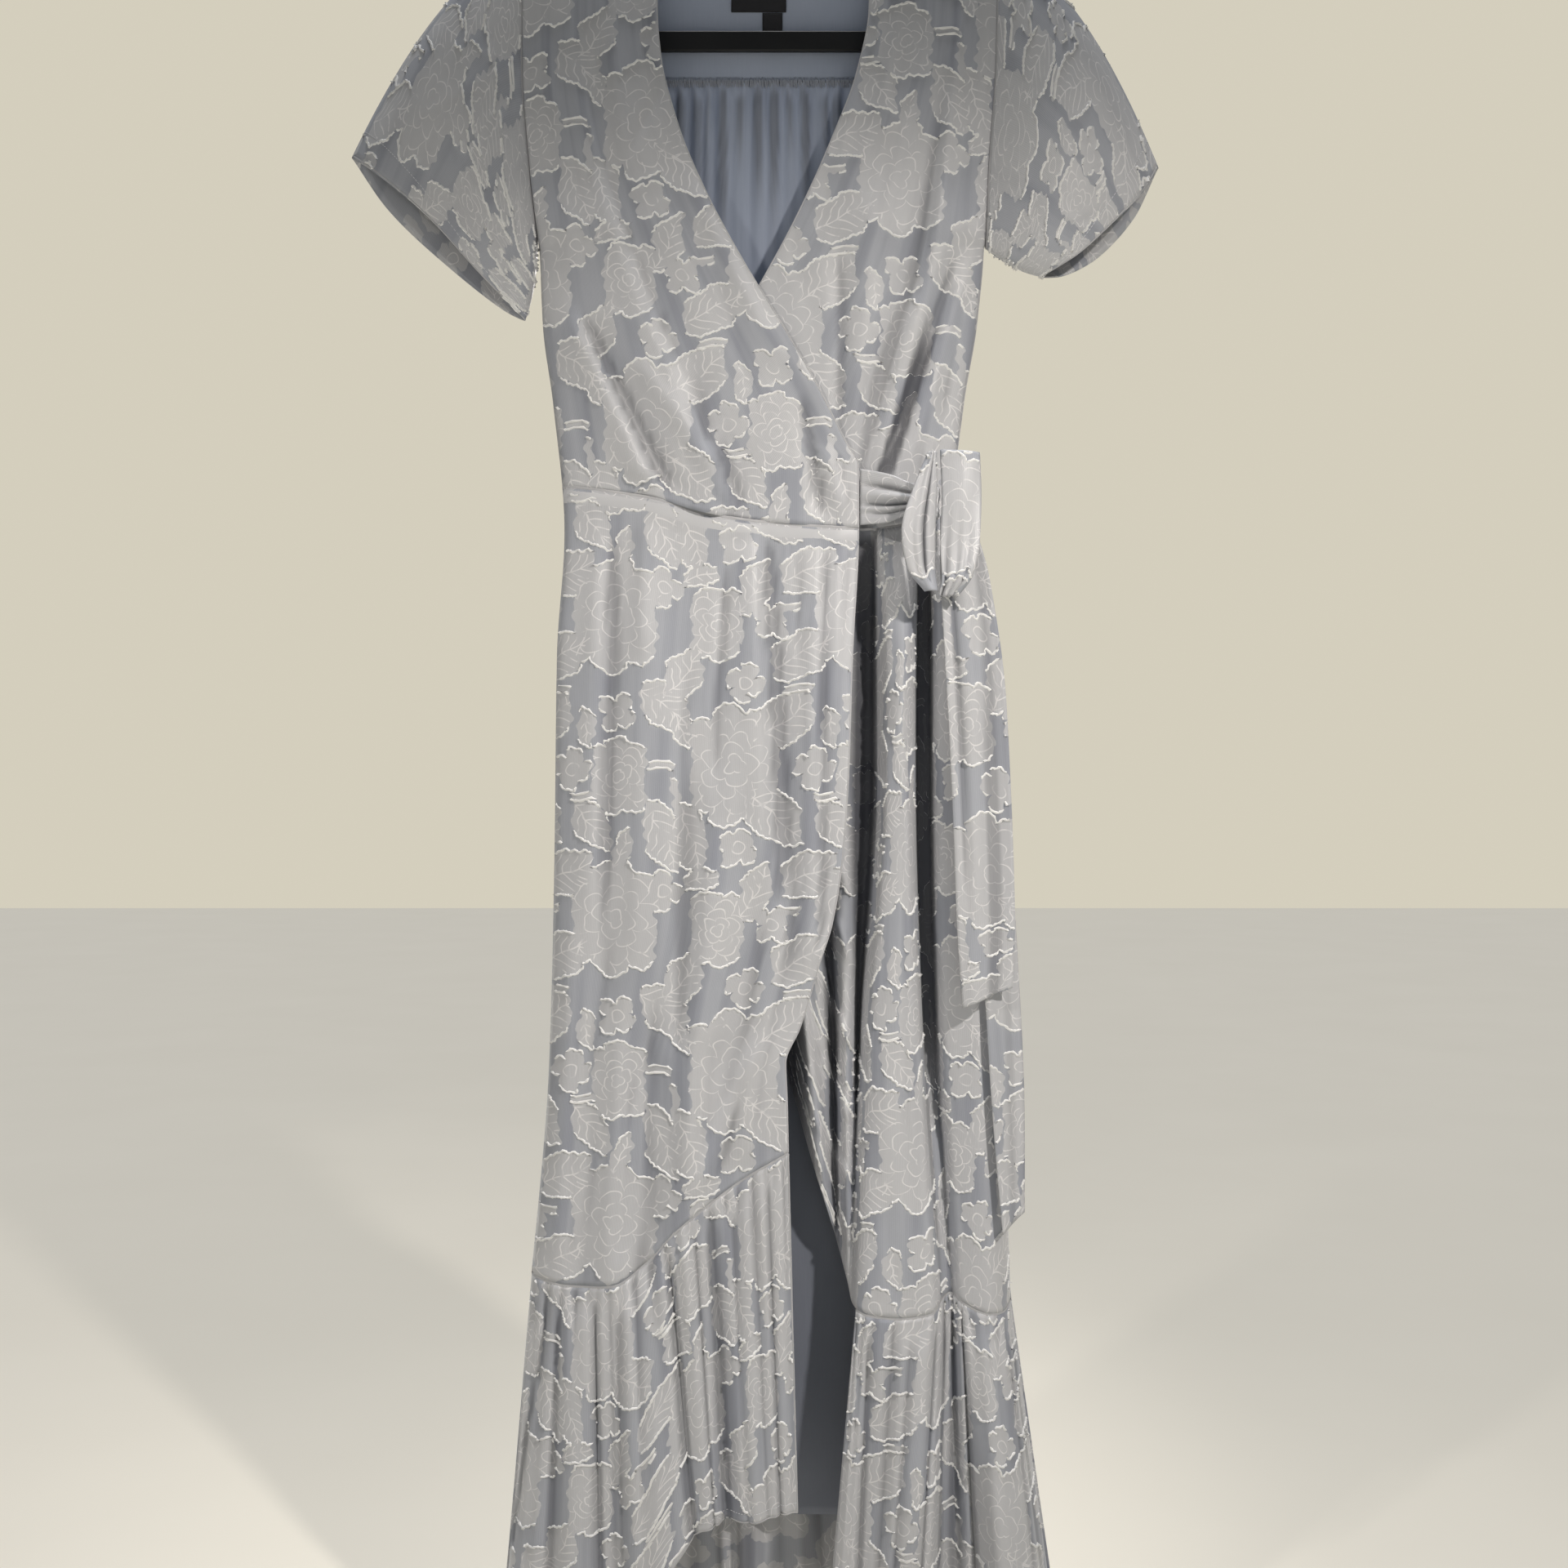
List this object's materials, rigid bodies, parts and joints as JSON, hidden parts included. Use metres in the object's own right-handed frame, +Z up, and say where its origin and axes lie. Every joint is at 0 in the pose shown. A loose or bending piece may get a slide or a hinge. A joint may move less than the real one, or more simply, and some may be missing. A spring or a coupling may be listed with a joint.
{
  "type": "wrap dress on a clothes hanger",
  "caption": "Midi wrap dress in a pale floral clipped jacquard, with short sleeves, V neck, side bow and gathered tulip flounce, hanging on a flat hanger.",
  "frame": {"origin": "the point inside the hanger's hook where it rests on its rail", "axes": "+Z up, -Y out of the front of the dress, +X towards the viewer's right, the wearer's left"},
  "size_m": [0.6425, 0.1249, 1.4955],
  "materials": {
    "dress_cloth": "slightly sheer woven cloth with satin floral patches and white clipped threads",
    "lining_cloth": "plain smooth light blue lining",
    "label_cloth": "bare black woven tape",
    "hanger_plastic": "matte black moulding",
    "hook_steel": "plain bright wire"
  },
  "bodies": {
    "root": {"bodice_front_over": "dress_cloth", "bodice_front_under": "dress_cloth", "back_yoke": "dress_cloth", "bodice_back": "dress_cloth", "sleeve_right": "dress_cloth", "sleeve_left": "dress_cloth", "skirt_front_over": "dress_cloth", "skirt_front_under": "dress_cloth", "skirt_back": "dress_cloth", "flounce_over": "dress_cloth", "flounce_under": "dress_cloth", "flounce_back": "dress_cloth", "tie_strap": "dress_cloth", "tie_knot": "dress_cloth", "bow_loop_left": "dress_cloth", "bow_loop_right": "dress_cloth", "tie_tail_front": "dress_cloth", "tie_tail_back": "dress_cloth", "yoke_lining": "lining_cloth", "bodice_back_lining": "lining_cloth", "skirt_back_lining": "lining_cloth", "neck_label": "label_cloth", "size_tab": "label_cloth", "hanger_body": "hanger_plastic", "hanger_hook": "hook_steel"}
  },
  "joints": []
}
